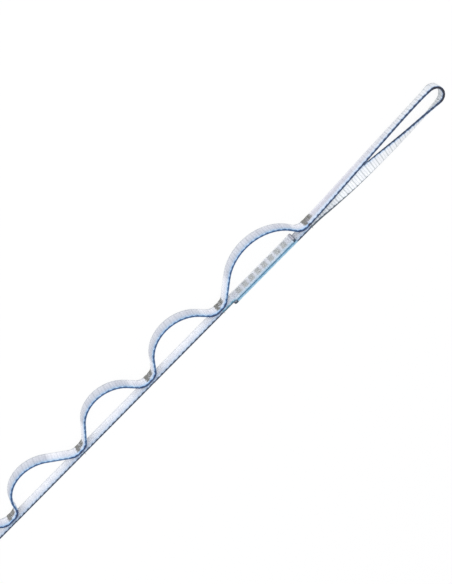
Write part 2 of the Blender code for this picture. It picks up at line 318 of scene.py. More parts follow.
def warp_cords(tree, across):
    """A wave with a half turn to each warp cord of a face, from the place across the webbing."""
    phase = add_node(
        tree, "ShaderNodeMath",
        {"operation": "MULTIPLY_ADD", 1: math.pi / cord_width, 2: -math.pi * cord_start / cord_width},
        {0: across},
    )
    return add_node(tree, "ShaderNodeMath", {"operation": "SINE"}, {0: phase.outputs[0]})


def woven_tape_finish(
    name, edge_colours, other_colours=None, begin=0.0, end=0.0, ease=0.001, blotches=0.0, tones=groove_shade_tones
):
    """Woven tape of white polyethylene yarn, bleached and silky, with dyed selvage yarns. The eye
    gets a soft white with faint cross lines and a thin dark edge that fades to pale blue.
    The colours lie round the section in millimetres from the upper selvage's crest. From begin to
    end, in metres along the tape, other colours take over with fainter grooves. They ease in and
    out, and their edges wander by the blotches. The tones are painted shade: the grooves', and then
    those of stretched cloth in its grooves, half way and on its ribs, darker where the tape bends outwards."""
    material, tree, shader = new_finish(name, {"IOR": 1.54, "Sheen Weight": 0.12, "Sheen Roughness": 0.4})
    place = add_node(tree, "ShaderNodeUVMap", {"uv_map": "weave"})
    parts = add_node(tree, "ShaderNodeSeparateXYZ", {}, {0: place.outputs["UV"]})
    relief = add_node(tree, "ShaderNodeAttribute", {"attribute_name": "relief"})
    stretch = add_node(tree, "ShaderNodeAttribute", {"attribute_name": "stretch"})
    packed = add_node(tree, "ShaderNodeAttribute", {"attribute_name": "packed"})
    around = add_node(
        tree, "ShaderNodeMath", {"operation": "WRAP", 1: lower_crest, 2: -lower_crest},
        {0: parts.outputs["Y"]},
    )
    # Each deep rib pulls the selvage yarn in, so that both dark crests swell and thin between them,
    # and where the yarn is packed they spread further down the faces
    reach = add_node(
        tree, "ShaderNodeClamp", {"Min": -crest_spread, "Max": crest_spread}, {"Value": around.outputs[0]}
    )
    angle = add_node(
        tree, "ShaderNodeMath", {"operation": "MULTIPLY", 1: 2 * math.pi / girth}, {0: around.outputs[0]}
    )
    crest_side = add_node(tree, "ShaderNodeMath", {"operation": "COSINE"}, {0: angle.outputs[0]})
    spread = add_node(
        tree, "ShaderNodeMath", {"operation": "MULTIPLY"}, {0: reach.outputs[0], 1: crest_side.outputs[0]}
    )
    pair = add_node(
        tree, "ShaderNodeMath", {"operation": "MULTIPLY", 1: 2 * math.pi / (1000 * rib_pitch)},
        {0: parts.outputs["X"]},
    )
    pair_wave = add_node(tree, "ShaderNodeMath", {"operation": "SINE"}, {0: pair.outputs[0]})
    swell = add_node(
        tree, "ShaderNodeMath", {"operation": "MULTIPLY_ADD", 1: rib_swell},
        {0: pair_wave.outputs[0], 2: packed.outputs["Fac"]},
    )
    drawn = add_node(
        tree, "ShaderNodeMath", {"operation": "MULTIPLY"}, {0: spread.outputs[0], 1: swell.outputs[0]}
    )
    crest = add_node(
        tree, "ShaderNodeMath", {"operation": "SUBTRACT"}, {0: around.outputs[0], 1: drawn.outputs[0]}
    )
    # Yarn ends wander by a few tenths of a millimetre
    wander = add_node(
        tree, "ShaderNodeTexNoise", {"noise_dimensions": "2D", "Scale": 0.8, "Detail": 2.0},
        {"Vector": place.outputs["UV"]},
    )
    strayed = add_node(tree, "ShaderNodeMath", {"operation": "ADD", 1: -0.5}, {0: wander.outputs["Fac"]})
    shifted = add_node(
        tree, "ShaderNodeMath", {"operation": "ADD"}, {0: strayed.outputs[0], 1: crest.outputs[0]}
    )
    share = add_node(
        tree, "ShaderNodeMath", {"operation": "MULTIPLY_ADD", 1: 1 / girth, 2: 0.5},
        {0: shifted.outputs[0]},
    )
    yarns = add_node(tree, "ShaderNodeValToRGB", {}, {0: share.outputs[0]})
    set_ramp(yarns, [(0.5 + millimetres / girth, colour) for millimetres, colour in edge_colours])
    yarn_colour = yarns.outputs["Color"]
    if other_colours:
        blotch = add_node(
            tree, "ShaderNodeTexNoise", {"noise_dimensions": "2D", "Scale": 0.4, "Detail": 3.0},
            {"Vector": place.outputs["UV"]},
        )
        blotted = add_node(tree, "ShaderNodeMath", {"operation": "ADD", 1: -0.5}, {0: blotch.outputs["Fac"]})
        wilder = add_node(
            tree, "ShaderNodeMath", {"operation": "MULTIPLY_ADD", 1: blotches},
            {0: blotted.outputs[0], 2: shifted.outputs[0]},
        )
        share = add_node(
            tree, "ShaderNodeMath", {"operation": "MULTIPLY_ADD", 1: 1 / girth, 2: 0.5},
            {0: wilder.outputs[0]},
        )
        others = add_node(tree, "ShaderNodeValToRGB", {}, {0: share.outputs[0]})
        set_ramp(others, [(0.5 + millimetres / girth, colour) for millimetres, colour in other_colours])
        begun = add_node(
            tree, "ShaderNodeMapRange",
            {"From Min": 1000 * (begin - ease), "From Max": 1000 * (begin + ease)},
            {"Value": parts.outputs["X"]},
        )
        left = add_node(
            tree, "ShaderNodeMapRange", {"From Min": 1000 * (end + ease), "From Max": 1000 * (end - ease)},
            {"Value": parts.outputs["X"]},
        )
        within = add_node(
            tree, "ShaderNodeMath", {"operation": "MULTIPLY"}, {0: begun.outputs[0], 1: left.outputs[0]}
        )
        both = add_node(
            tree, "ShaderNodeMix", {"data_type": "RGBA"},
            {0: within.outputs[0], 6: yarn_colour, 7: others.outputs["Color"]},
        )
        yarn_colour = both.outputs[2]
    # Packed yarn is painted darker, its dye deeper and with painted shade of the tight fold, while white yarn
    # stays white
    depth = add_node(
        tree, "ShaderNodeMath", {"operation": "MULTIPLY_ADD", 1: packed_dye_and_shade, 2: 1.0},
        {0: packed.outputs["Fac"]},
    )
    dyed = add_node(tree, "ShaderNodeGamma", {}, {"Color": yarn_colour, "Gamma": depth.outputs[0]})
    # Painted shade in the grooves between picks, more where the cloth is stretched round a bend, which also
    # darkens its ribs there
    grooves = add_node(tree, "ShaderNodeValToRGB", {}, {0: relief.outputs["Fac"]})
    set_ramp(grooves, ((0.0, tones[0]), (0.8, "FFFFFF")))
    groove_colour = grooves.outputs["Color"]
    if other_colours:
        faint = add_node(tree, "ShaderNodeValToRGB", {}, {0: relief.outputs["Fac"]})
        set_ramp(faint, ((0.0, faint_groove_shade), (0.8, "FFFFFF")))
        blended = add_node(
            tree, "ShaderNodeMix", {"data_type": "RGBA"},
            {0: within.outputs[0], 6: groove_colour, 7: faint.outputs["Color"]},
        )
        groove_colour = blended.outputs[2]
    stretched_shade = add_node(tree, "ShaderNodeValToRGB", {}, {0: relief.outputs["Fac"]})
    set_ramp(stretched_shade, ((0.0, tones[1]), (0.5, tones[2]), (1.0, tones[3])))
    shade = add_node(
        tree, "ShaderNodeMix", {"data_type": "RGBA"},
        {0: stretch.outputs["Fac"], 6: groove_colour, 7: stretched_shade.outputs["Color"]},
    )
    shaded = add_node(
        tree, "ShaderNodeMix", {"data_type": "RGBA", "blend_type": "MULTIPLY", 0: 1.0},
        {6: dyed.outputs[0], 7: shade.outputs[2]},
    )
    # Plain weave, about twice as coarse as the real cloth's so that it shows: warp yarns as wide as
    # the mesh's cords pass over picks 1 mm wide, and neighbouring yarns lie half a pick apart
    warp_wave = warp_cords(tree, parts.outputs["Y"])
    turn = add_node(tree, "ShaderNodeMath", {"operation": "SIGN"}, {0: warp_wave.outputs[0]})
    offset = add_node(
        tree, "ShaderNodeMath", {"operation": "MULTIPLY_ADD", 1: drawn_pick / 4},
        {0: turn.outputs[0], 2: parts.outputs["X"]},
    )
    filling = add_node(
        tree, "ShaderNodeMath", {"operation": "MULTIPLY", 1: math.pi / drawn_pick}, {0: offset.outputs[0]}
    )
    filling_wave = add_node(tree, "ShaderNodeMath", {"operation": "SINE"}, {0: filling.outputs[0]})
    floats = add_node(
        tree, "ShaderNodeMath", {"operation": "MULTIPLY"},
        {0: warp_wave.outputs[0], 1: filling_wave.outputs[0]},
    )
    weave = add_node(tree, "ShaderNodeMath", {"operation": "ABSOLUTE"}, {0: floats.outputs[0]})
    seams = add_node(tree, "ShaderNodeValToRGB", {}, {0: weave.outputs[0]})
    set_ramp(seams, ((0.0, seam_shade), (0.22, "FFFFFF")))
    mottle = add_node(
        tree, "ShaderNodeTexNoise", {"noise_dimensions": "2D", "Scale": 0.12, "Detail": 3.0},
        {"Vector": place.outputs["UV"]},
    )
    tone = add_node(tree, "ShaderNodeValToRGB", {}, {0: mottle.outputs["Fac"]})
    set_ramp(tone, ((0.3, "F4F4F6"), (0.6, "FFFFFF")))
    seamed = add_node(
        tree, "ShaderNodeMix", {"data_type": "RGBA", "blend_type": "MULTIPLY", 0: 1.0},
        {6: shaded.outputs[2], 7: seams.outputs["Color"]},
    )
    colour = add_node(
        tree, "ShaderNodeMix", {"data_type": "RGBA", "blend_type": "MULTIPLY", 0: 1.0},
        {6: seamed.outputs[2], 7: tone.outputs["Color"]},
    )
    gloss = add_node(
        tree, "ShaderNodeMapRange", {"To Min": 0.5, "To Max": 0.68}, {"Value": mottle.outputs["Fac"]}
    )
    bump = add_node(
        tree, "ShaderNodeBump", {"Strength": 0.5, "Distance": 0.00009}, {"Height": weave.outputs[0]}
    )
    tree.links.new(colour.outputs[2], shader.inputs["Base Color"])
    tree.links.new(gloss.outputs[0], shader.inputs["Roughness"])
    tree.links.new(bump.outputs[0], shader.inputs["Normal"])
    return material


def fused_end_finish():
    """Webbing cut with a hot knife: the yarns melt into a hard bead, smoother and greyer than the
    cloth, and dark blue where the selvage yarn ran into it."""
    material, tree, shader = new_finish("fused_polyethylene_hot_cut", {"IOR": 1.54, "Roughness": 0.32})
    place = add_node(tree, "ShaderNodeUVMap", {"uv_map": "weave"})
    parts = add_node(tree, "ShaderNodeSeparateXYZ", {}, {0: place.outputs["UV"]})
    relief = add_node(tree, "ShaderNodeAttribute", {"attribute_name": "relief"})
    crest = add_node(
        tree, "ShaderNodeMath", {"operation": "PINGPONG", 1: face_middle}, {0: parts.outputs["Y"]}
    )
    blobs = add_node(
        tree, "ShaderNodeTexNoise", {"noise_dimensions": "2D", "Scale": 1.1, "Detail": 2.0},
        {"Vector": place.outputs["UV"]},
    )
    # Both borders of the bead are darker
    bead = add_node(tree, "ShaderNodeValToRGB", {}, {0: relief.outputs["Fac"]})
    set_ramp(bead, ((0.15, "707588"), (0.9, "CCCBD1")))
    # The selvage's dye ran 2 to 3 mm into the melt, unevenly
    melt = add_node(
        tree, "ShaderNodeMath", {"operation": "MULTIPLY_ADD", 1: 1.5},
        {0: blobs.outputs["Fac"], 2: crest.outputs[0]},
    )
    share = add_node(tree, "ShaderNodeMath", {"operation": "MULTIPLY", 1: 1 / 5.0}, {0: melt.outputs[0]})
    run = add_node(tree, "ShaderNodeValToRGB", {}, {0: share.outputs[0]})
    set_ramp(run, ((0.35, "1E4A62"), (0.58, "FFFFFF")))
    melted = add_node(
        tree, "ShaderNodeMix", {"data_type": "RGBA", "blend_type": "MULTIPLY", 0: 1.0},
        {6: bead.outputs["Color"], 7: run.outputs["Color"]},
    )
    # The warp cords still show in it as furrows, painted with shade
    warp_wave = warp_cords(tree, parts.outputs["Y"])
    cords = add_node(tree, "ShaderNodeMath", {"operation": "ABSOLUTE"}, {0: warp_wave.outputs[0]})
    furrow_shade = add_node(tree, "ShaderNodeValToRGB", {}, {0: cords.outputs[0]})
    set_ramp(furrow_shade, ((0.0, "B8BAC4"), (0.4, "FFFFFF")))
    colour = add_node(
        tree, "ShaderNodeMix", {"data_type": "RGBA", "blend_type": "MULTIPLY", 0: 1.0},
        {6: melted.outputs[2], 7: furrow_shade.outputs["Color"]},
    )
    lumpy = add_node(
        tree, "ShaderNodeMath", {"operation": "MULTIPLY_ADD", 1: 0.6},
        {0: cords.outputs[0], 2: blobs.outputs["Fac"]},
    )
    bump = add_node(
        tree, "ShaderNodeBump", {"Strength": 0.7, "Distance": 0.0002}, {"Height": lumpy.outputs[0]}
    )
    tree.links.new(colour.outputs[2], shader.inputs["Base Color"])
    tree.links.new(bump.outputs[0], shader.inputs["Normal"])
    return material


# Blue yarn lies in one selvage and slate yarn in the other. The cloth is tinted blue beside them and painted
# lighter towards its lower edge: painted light, as if thrown up from the floor
tint_and_painted_light = ((2.4, "D6E3F2"), (4.6, "E6EAF1"), (7.5, "F1F2F6"), (9.8, "FAFAFB"))
pale_tint_and_painted_light = ((2.4, "DCE8F5"), (4.6, "EDF1F7"), (7.5, "F7F8FB"), (9.8, "FCFCFC"))
blue_edge = ((0.46, "28507C"), (0.8, "78A2CA"), (1.3, "BCD6EE"))
slate_edge = ((0.52, "1E2C40"), (0.88, "68809C"), (1.4, "C0D0E2"))
plain_edge = ((2.0, "ECEEF1"), (0.8, "B9C2CA"), (0.3, "4F5B66"))


def round_section(front, back):
    """Colours all round: from the upper crest down the front, and mirrored down the back."""
    return [(-place, colour) for place, colour in reversed(back)] + list(front)


far_edge = tuple((lower_crest - place, colour) for place, colour in plain_edge)
blue_up = round_section(blue_edge + tint_and_painted_light + far_edge, blue_edge + tint_and_painted_light + far_edge)
slate_up = round_section(slate_edge + pale_tint_and_painted_light + far_edge, slate_edge + far_edge)
woven_blue_up = woven_tape_finish("woven_polyethylene_blue_selvage", blue_up)
taut_shade_tones = ("F8F9FA",) + groove_shade_tones[1:]  # pulled straight, the spine's cloth hardly shows its ribs, so its grooves get little painted shade
woven_slate_up = woven_tape_finish("woven_polyethylene_slate_selvage", slate_up, tones=taut_shade_tones)
fused_end = fused_end_finish()

for i in range(1, pockets):
    number = str(i + 1)
    length = tack_x[i] - tack_x[i + 1]
    path = [(tack_x[i + 1], spine_y), (tack_x[i], spine_y)]
    spine = woven_tape("spine_webbing_" + number, path, woven_slate_up, sewn=(0, length))
    sew_in(spine, "spine_strand_" + number, bodies[i + 1], bodies[i])

# The splice: in the first pocket the webbing's two ends lap on the spine, sewn flat together by
# eight short bar tacks. Both ends are cut with a hot knife, which fuses the yarns into a bead.
inner_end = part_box("spine_strand_1")[1].x
outer_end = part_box("splice_outer_strand")[0].x
splice_tacks = 8
splice_boxes = [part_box("splice_tack_" + str(k + 1)) for k in range(splice_tacks)]
splice_x = [(low.x + high.x) / 2 for low, high in splice_boxes]

# Pressed together, the two selvages show as one blue band, deepest where the layers meet: their dye together
# with painted shade in the gap between them
shared_dye_and_shade = (
    (0.3, "9CBDD0"),
    (0.8, "78A8C4"),
    (1.9, "6C9EBA"),
    (2.6, "78A8C2"),
    (4.0, "DDE6F0"),
    (lower_crest, "F0F2F5"),
)
inner_side = (
    (0.3, "A0BCCF"),
    (0.9, "BFD0DE"),
    (1.9, "D2DBE3"),
    (4.5, "DDE0E6"),
    (8.5, "E0E2E6"),
    (10.5, "F2F4F5"),
)
outer_side = (
    (0.3, "90BED4"),
    (1.0, "B8DCEA"),
    (2.0, "D8EAF2"),
    (4.5, "EBEFF3"),
    (lower_crest, "F0F2F5"),
)
teal_edge = ((0.7, "467A92"), (1.2, "80ACC0"), (1.8, "C0DCE8"))  # from the tack to the outer end
teal_up = round_section(teal_edge + pale_tint_and_painted_light + far_edge, slate_edge + far_edge)
band_start = outer_end + 0.003
band_blotches = 3.0  # the edges of its colours wander by millimetres
woven_inner = woven_tape_finish(
    "woven_polyethylene_inner_lap", teal_up, round_section(inner_side, shared_dye_and_shade),
    band_start - tack_x[1], inner_end - tack_x[1], blotches=band_blotches,
)
woven_outer = woven_tape_finish(
    "woven_polyethylene_outer_lap", slate_up, round_section(shared_dye_and_shade, outer_side),
    0.0, inner_end - outer_end, blotches=band_blotches,
)

inner_melt = 0.0026  # the length of fused webbing at each cut end
outer_melt = 0.0038
inner = woven_tape(
    "splice_inner_webbing", [(tack_x[1], spine_y), (inner_end, spine_y)], woven_inner,
    sewn=[0] + [x - tack_x[1] for x in splice_x], sealed={"end": inner_melt},
)
sew_in(inner, "spine_strand_1", "pocket_1")
outer = woven_tape(
    "splice_outer_webbing", [(outer_end, lower_y[0]), (tack_x[0], lower_y[0])], woven_outer,
    sewn=[x - outer_end for x in splice_x] + [tack_x[0] - outer_end], sealed={"start": outer_melt},
)
sew_in(outer, "splice_outer_strand", "pocket_1", "end_loop")

# The pocket strand: the same webbing, bowed away from the spine between two tacks and kept on its
# edge. Each bow leaves its tack in a short root bend and stands in a round crown.
root_radius = 0.0095
root_flat = 0.0040  # the flat length over a tack
# Each bow's rise at its left and right foot in degrees, and its shorter leg as a share of its span
first_bow = (42.5, 63.5, 0.030)
other_bows = ((55.5, 57.5, 0.110), (49.0, 60.0, 0.120), (70.0, 47.5, 0.040), (53.0, 57.0, 0.110))
arc_steps = 40


def length_of(path):
    """The length of a plan path."""
    return sum(math.dist(a, b) for a, b in zip(path, path[1:]))


def arc(centre, radius, start, end):
    """Points round a centre, angles in radians."""
    angles = np.linspace(start, end, arc_steps)
    return [(centre[0] + radius * math.cos(a), centre[1] + radius * math.sin(a)) for a in angles]


def bow(left, right, shape):
    """A pocket strand's plan from one flat tack to the next: root bend, leg, crown, leg, root bend."""
    if shape[0] > shape[1]:
        mirrored = bow((-right[0], right[1]), (-left[0], left[1]), (shape[1], shape[0], shape[2]))
        return [(-x, y) for x, y in reversed(mirrored)]
    up, down = math.radians(shape[0]), math.radians(shape[1])
    up_cos, up_sin, down_cos, down_sin = math.cos(up), math.sin(up), math.cos(down), math.sin(down)
    short_leg = shape[2] * (right[0] - left[0])
    run = right[0] - left[0] - short_leg * down_cos
    climb = right[1] - left[1] + short_leg * down_sin
    spread = 1 - math.cos(up + down)
    long_leg = (climb * (up_sin + down_sin) - run * (down_cos - up_cos)) / spread
    crown = (run * up_sin - climb * up_cos) / spread - root_radius
    quarter = math.pi / 2
    points = arc((left[0], left[1] + root_radius), root_radius, -quarter, up - quarter)
    top = (points[-1][0] + long_leg * up_cos, points[-1][1] + long_leg * up_sin)
    points += arc((top[0] + crown * up_sin, top[1] - crown * up_cos), crown, quarter + up, quarter - down)
    return points + arc((right[0], right[1] + root_radius), root_radius, -quarter - down, -quarter)


bow_paths = []
for i in range(pockets):
    number = str(i + 1)
    left = (tack_x[i + 1] + root_flat / 2, upper_y[i + 1])
    right = (tack_x[i] - root_flat / 2, upper_y[i])
    shape = other_bows[(i - 1) % len(other_bows)] if i else first_bow
    bow_paths.append([(tack_x[i + 1], left[1])] + bow(left, right, shape) + [(tack_x[i], right[1])])
    length = length_of(bow_paths[i])
    pocket = woven_tape(
        "pocket_webbing_" + number, bow_paths[i], woven_blue_up, sewn=(0, length), tight=(0, length)
    )
    sew_in(pocket, "pocket_strand_" + number, bodies[i + 1], bodies[i])

# The end loop: the webbing goes out from the first tack, round a tight tip and back with a half
# twist, so its edge rolls over into a flat strip on the way back. It is what gets hitched.
loop_low, loop_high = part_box("end_loop_webbing")
loop_reach = loop_high.x - tape_thickness / 2 - tack_x[0]
left_spread = 0.0081  # from the spine's line to each side of the tip
right_spread = 0.0090
left_shares = ((0.35, 0.33), (0.70, 0.85))  # each side's curve handles, as shares of its run and spread
right_shares = ((0.675, 1.16), (0.42, 0.40))
twist_shares = (  # shares of the loop's length and the webbing's lean there in degrees, 90 on edge
    (0.0, 90.0),
    (0.10, 85.0),
    (0.22, 79.0),
    (0.43, 71.0),
    (0.50, 93.0),
    (0.58, 128.0),
    (0.68, 154.0),
    (0.76, 180.0),
    (0.87, 228.0),
    (0.95, 264.0),
    (1.0, 270.0),
)
tack_lead = tack_x[0] - loop_low.x  # the CAD strand starts this far left of the tack's middle


def bezier(start, start_handle, end_handle, end):
    """Points of a smooth curve between two ends, drawn out by a handle at each."""
    t = np.linspace(0, 1, 3 * arc_steps)[:, None]
    a, b, c, d = (np.array(p) for p in (start, start_handle, end_handle, end))
    return ((1 - t) ** 3 * a + 3 * (1 - t) ** 2 * t * b + 3 * (1 - t) * t ** 2 * c + t ** 3 * d).tolist()


def twist_at(at, total):
    """The webbing's lean in radians, smooth between the stations, slopes taken from neighbours."""
    shares = (at + tack_lead) / (total + 2 * tack_lead)
    xs, ys = np.array(twist_shares).T
    low, high = np.maximum(np.arange(len(xs)) - 1, 0), np.minimum(np.arange(len(xs)) + 1, len(xs) - 1)
    slopes = (ys[high] - ys[low]) / (xs[high] - xs[low])
    i = np.clip(np.searchsorted(xs, shares, side="right") - 1, 0, len(xs) - 2)
    width = xs[i + 1] - xs[i]
    t = (shares - xs[i]) / width
    rise = (2 * t**3 - 3 * t**2 + 1) * ys[i] + (3 * t**2 - 2 * t**3) * ys[i + 1]
    rise += ((t**3 - 2 * t**2 + t) * slopes[i] + (t**3 - t**2) * slopes[i + 1]) * width
    return np.radians(rise)


tip_radius = (left_spread + right_spread) / 2
tip_run = loop_reach - tip_radius
tip = (tack_x[0] + tip_run, spine_y + (left_spread - right_spread) / 2)
start_x = tack_x[0] + root_flat / 2
left_handles = [(tack_x[0] + tip_run * x, spine_y + left_spread * y) for x, y in left_shares]
right_handles = [(tack_x[0] + tip_run * x, spine_y - right_spread * y) for x, y in right_shares]
loop_path = [(tack_x[0], upper_y[0])]
loop_path += bezier((start_x, upper_y[0]), *left_handles, (tip[0], spine_y + left_spread))
loop_path += arc(tip, tip_radius, math.pi / 2, -math.pi / 2)[1:-1]
loop_path += bezier((tip[0], spine_y - right_spread), *right_handles, (start_x, lower_y[0]))
loop_path.append((tack_x[0], lower_y[0]))
loop_length = length_of(loop_path)

# The blue edge is painted darkest here, as shade. The first stretch is painted greyer with shade than the
# strip that opens to the light
shaded_blue_edge = ((0.52, "182E50"), (0.88, "6284AC"), (1.4, "CCDCEE"))
bright_tint = ((2.2, "E6EDF4"), (4.0, "F2F4F5"), (9.0, "F3F5F5"))
painted_shade_tint = ((2.6, "D4E1F1"), (5.0, "CFD0D8"), (8.0, "D5D5DD"), (10.4, "ECECF0"))
rolled_edge = ((lower_crest - 1.8, "EDF0F2"), (lower_crest - 1.3, "A9B3BB"), (lower_crest - 1.0, "4A555F"))
open_shade_tones = ("C0C5C5", "DCDEE1", "F2F3F5", "F6F7F8")  # painted shade, which shows its ribs plainly where it rolls open
bright_side = shaded_blue_edge + bright_tint + rolled_edge
grey_share = 0.3  # the share of the loop painted grey as shade, which clears over grey_ease each way
grey_ease = 0.05
woven_loop = woven_tape_finish(
    "woven_polyethylene_end_loop", round_section(bright_side, bright_side),
    round_section(shaded_blue_edge + painted_shade_tint, bright_side),
    -2 * grey_ease, loop_length * grey_share, ease=grey_ease, tones=open_shade_tones,
)
end_loop = woven_tape(
    "end_loop_tape", loop_path, woven_loop, twist_at, sewn=(0, loop_length), tight=(0,)
)
sew_in(end_loop, "end_loop_webbing", "end_loop")

# The far loop: past the last tack the webbing folds straight back on itself, without a twist. Both
# strands are one length of cloth, so over the fold the blue selvage gives way to the slate one.
far_low, far_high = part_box("far_loop_webbing")
far_spread = 0.0085  # from its middle line to each strand where it is widest
far_handle_share = 0.35
far_root = 0.00136  # the flat length under the tack before the loop starts to open
far_x = far_low.x + tape_thickness / 2 + far_spread
far_y = lower_y[pockets] + layer_step / 2
hinge_x = far_high.x - tape_thickness / 2
far_hand = (hinge_x - far_x) * far_handle_share
far_path = [(tack_x[pockets], upper_y[pockets])]
far_path += bezier(
    (hinge_x - far_root, upper_y[pockets]), (hinge_x - far_root - far_hand, upper_y[pockets]),
    (far_x + far_hand, far_y + far_spread), (far_x, far_y + far_spread),
)
far_path += arc((far_x, far_y), far_spread, math.pi / 2, math.pi * 1.5)[1:-1]
far_path += bezier(
    (far_x, far_y - far_spread), (far_x + far_hand, far_y - far_spread),
    (hinge_x - far_hand, lower_y[pockets]), (hinge_x - layer_gap, lower_y[pockets]),
)
far_path.append((tack_x[pockets], lower_y[pockets]))
far_length = length_of(far_path)
fold_ease = 0.02  # the selvage's colour changes over this length each way
woven_far_loop = woven_tape_finish(
    "woven_polyethylene_far_loop", blue_up, slate_up, far_length / 2, 2 * far_length, ease=fold_ease
)
far_loop = woven_tape(
    "far_loop_tape", far_path, woven_far_loop, sewn=(0, far_length), tight=(0, far_length)
)
sew_in(far_loop, "far_loop_webbing", "far_loop", "pocket_10")

# The bar tacks: grey bonded polyester thread sewn in dense zigzag bars through both layers. Its
# legs run along the webbing and climb across it, on the front face and again on the back.
thread_radius = 0.00021
thread_sides = 6
bars = (  # each bar's start and end along the tape, its lowest and highest leg, and the legs' pitch
    (-0.0032, 0.0018, 0.0008, 0.0056, 0.00046),
    (-0.0026, 0.0014, 0.0060, 0.0090, 0.00060),
    (0.0016, 0.0080, 0.0008, 0.0070, 0.00060),
)
ragged = 0.0007  # how far the legs' ends stray on a bar tack, and on the splice's neater ones
neat = 0.0004
dive = -0.9  # each leg's ends lie this many thread radii under the face, and its middle stands proud
leg_rise = ((0.0, dive), (0.07, 0.35), (0.3, 0.75), (0.7, 0.75), (0.93, 0.35))
thread_seat = 0.6  # the face under a leg lies pulled in by this share of the thinning
heading_step = 0.0004  # a strand's heading under a leg is taken over this length
# A tack's cut tail: its length, its place along the tack and up the webbing, and how it leans
tail_lengths = (0.0012, 0.0022)
tail_places = (0.0, 0.0015)
tail_height = 0.0094
tail_swing = (-0.4, 0.4)
tail_lift = (-0.1, 0.2)
plies = 3
ply_turn = 0.8  # millimetres of thread to one turn of its plies
thread_crisp_angle = math.radians(70)
rng = np.random.default_rng(7)


def thread_finish(name, light, dark):
    """Bonded polyester sewing thread, three plies twisted: matt grey with a fine diagonal lay."""
    material, tree, shader = new_finish(name, {"IOR": 1.57, "Roughness": 0.62, "Sheen Weight": 0.2})
    place = add_node(tree, "ShaderNodeUVMap", {"uv_map": "weave"})
    parts = add_node(tree, "ShaderNodeSeparateXYZ", {}, {0: place.outputs["UV"]})
    # The plies lie as slanting stripes, round the thread and along it, with painted shade in the grooves
    # between them
    lay = add_node(
        tree, "ShaderNodeMath", {"operation": "MULTIPLY", 1: 2 * plies * math.pi / ply_turn},
        {0: parts.outputs["X"]},
    )
    turn = add_node(
        tree, "ShaderNodeMath", {"operation": "MULTIPLY_ADD", 1: 2 * plies * math.pi},
        {0: parts.outputs["Y"], 2: lay.outputs[0]},
    )
    wave = add_node(tree, "ShaderNodeMath", {"operation": "SINE"}, {0: turn.outputs[0]})
    share = add_node(
        tree, "ShaderNodeMath", {"operation": "MULTIPLY_ADD", 1: 0.5, 2: 0.5}, {0: wave.outputs[0]}
    )
    colour = add_node(tree, "ShaderNodeValToRGB", {}, {0: share.outputs[0]})
    set_ramp(colour, ((0.0, dark), (0.6, light)))
    bump = add_node(
        tree, "ShaderNodeBump", {"Strength": 0.6, "Distance": 0.00005}, {"Height": share.outputs[0]}
    )
    tree.links.new(colour.outputs["Color"], shader.inputs["Base Color"])
    tree.links.new(bump.outputs[0], shader.inputs["Normal"])
    return material


grey_thread = thread_finish("bonded_polyester_thread_grey", "908F8A", "62635E")
pale_thread = thread_finish("bonded_polyester_thread_pale", "CACDCD", "A6AAAA")


def zigzag(surface, start, end, low, high, pitch, stray):
    """One thread as points on a surface: legs from start to end and back, climbing by the pitch.
    The thread dives into the webbing at the end of each leg, and each end strays a little."""
    legs = max(2, round((high - low) / pitch))
    points = []
    for leg in range(legs):
        ends = (start, end) if leg % 2 == 0 else (end, start)
        near, far = ends + rng.uniform(-stray, stray, 2)
        for share, lift in leg_rise:
            z = low + (leg + share) * (high - low) / legs
            points.append(surface(near + (far - near) * share, z, lift * thread_radius))
    points.append(surface(far, high, dive * thread_radius))
    return np.array(points)


def thread_piece(name, runs, material, node, body):
    """One mesh of closed thread tubes. Each run is its points and the way out of the webbing."""
    vertices, faces, places = [], [], []
    for points, normal in runs:
        steps = np.gradient(points, axis=0)
        steps /= np.linalg.norm(steps, axis=1)[:, None]
        sideways = np.cross(steps, np.array(normal))
        sideways /= np.linalg.norm(sideways, axis=1)[:, None]
        upward = np.cross(sideways, steps)
        marks = distances_along(points) * 1000
        base = len(vertices)
        for i, point in enumerate(points):
            for k in range(thread_sides):
                a = 2 * math.pi * k / thread_sides
                vertices.append(point + thread_radius * (math.cos(a) * sideways[i] + math.sin(a) * upward[i]))
        for i in range(len(points) - 1):
            for k in range(thread_sides):
                n = (k + 1) % thread_sides
                a, b = base + i * thread_sides, base + (i + 1) * thread_sides
                faces.append((a + k, a + n, b + n, b + k))
                u, v = k / thread_sides, (k + 1) / thread_sides
                places += [(marks[i], u), (marks[i], v), (marks[i + 1], v), (marks[i + 1], u)]
        last = base + (len(points) - 1) * thread_sides
        faces.append(tuple(range(base, base + thread_sides))[::-1])
        faces.append(tuple(range(last, last + thread_sides)))
        places += [(0, 0)] * thread_sides + [(marks[-1], 0)] * thread_sides
    mesh = bpy.data.meshes.new(name)
    mesh.from_pydata([v.tolist() for v in vertices], [], faces)
    mesh.uv_layers.new(name="weave").uv.foreach_set("vector", np.array(places, np.float32).ravel())
    mesh.materials.append(material)
    mesh.shade_smooth()
    mesh.set_sharp_from_angle(angle=thread_crisp_angle)
    piece = add_object(name, mesh)
    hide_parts(node)
    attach(piece, body)
    return piece


def face_of(path, side):
    """Places on one face of a strand, measured from its path's start. The side is 1 or -1."""
    path = np.array(path)
    marks = distances_along(path)

    def surface(along, z, lift):
        s = max(along, 0)
        ahead = np.array([np.interp(s + heading_step, marks, path[:, k]) for k in (0, 1)])
        here = np.array([np.interp(s, marks, path[:, k]) for k in (0, 1)])
        step = (ahead - here) / np.linalg.norm(ahead - here)
        if along < 0:
            here = here + step * along
        normal = np.array((-step[1], step[0])) * side
        spot = here + normal * (tape_thickness / 2 * (1 - sewn_thinning * thread_seat) + lift)
        return (spot[0], spot[1], z)

    return surface


